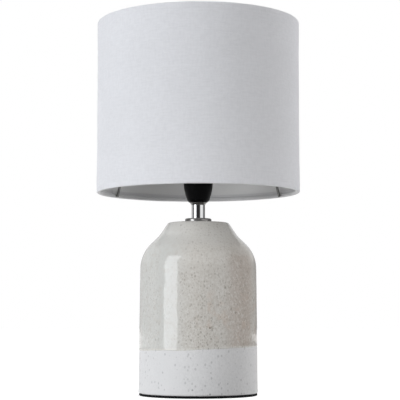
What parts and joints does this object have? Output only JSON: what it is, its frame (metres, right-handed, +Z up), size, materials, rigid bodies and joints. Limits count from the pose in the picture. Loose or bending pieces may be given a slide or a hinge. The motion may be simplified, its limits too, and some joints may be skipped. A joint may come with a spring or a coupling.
{
  "type": "table lamp",
  "caption": "Bedside table lamp: glazed stoneware body, chrome neck, black lampholder and white linen drum shade on a recessed spider.",
  "frame": {"origin": "on the table surface, on the lamp's vertical axis", "axes": "+Z up along the lamp's axis; -Y is the front, and the cord inlet is in the back at +Y"},
  "size_m": [0.199, 0.199, 0.364],
  "materials": {
    "stoneware": "glossy speckled beige glaze, pale matt band at the foot",
    "foot_foam": "matt closed-cell foam",
    "black_rubber": "matt",
    "plated_steel": "zinc plated",
    "nut_brass": "plain",
    "neck_chrome": "polished",
    "holder_black": "satin",
    "carrier_white": "plain",
    "contact_brass": "plain",
    "linen": "slubbed plain weave",
    "liner": "matt",
    "frame_wire": "zinc plated wire",
    "bulb_diffuser": "opal",
    "bulb_plastic": "satin",
    "bulb_metal": "plain",
    "insulator_black": "glassy",
    "board_metal": "white lacquer",
    "chip_resin": "clear yellow",
    "board_green": "lacquer"
  },
  "bodies": {
    "base": {"ceramic_body": "stoneware", "foot_pad": "foot_foam", "cord_grommet": "black_rubber", "threaded_tube": "plated_steel", "inner_rubber_washer": "black_rubber", "inner_steel_washer": "plated_steel", "lock_washer": "plated_steel", "hex_nut": "nut_brass", "flange_gasket": "black_rubber", "neck_flange": "neck_chrome", "neck_sleeve": "neck_chrome", "holder_collar": "neck_chrome", "holder_cap": "holder_black", "cap_lock_screw": "plated_steel", "holder_shell": "holder_black", "contact_carrier": "carrier_white", "centre_contact": "contact_brass", "side_contact": "contact_brass", "terminal_screws": "contact_brass"},
    "shade": {"shade_fabric": "linen", "shade_liner": "liner", "top_ring": "frame_wire", "bottom_ring": "frame_wire", "spider_arms": "frame_wire", "fitter_ring": "frame_wire"},
    "ring_nut": {"shade_ring_nut": "holder_black"},
    "bulb": {"bulb_globe": "bulb_diffuser", "bulb_housing": "bulb_plastic", "bulb_cap": "bulb_metal", "bulb_insulator": "insulator_black", "bulb_contact": "bulb_metal", "led_board": "board_metal", "led_chips": "chip_resin", "driver_board": "board_green"}
  },
  "joints": [
    {"name": "shade_turn", "type": "hinge", "parent": "base", "child": "shade", "pos_m": [0, 0, 0.216], "axis": [0, 0, 1], "continuous": true},
    {"name": "ring_nut_unscrew", "type": "slide", "parent": "base", "child": "ring_nut", "axis": [0, 0, 1], "range_m": [0, 0.024]},
    {"name": "bulb_unscrew", "type": "slide", "parent": "base", "child": "bulb", "axis": [0, 0, 1], "range_m": [0, 0.026]}
  ]
}
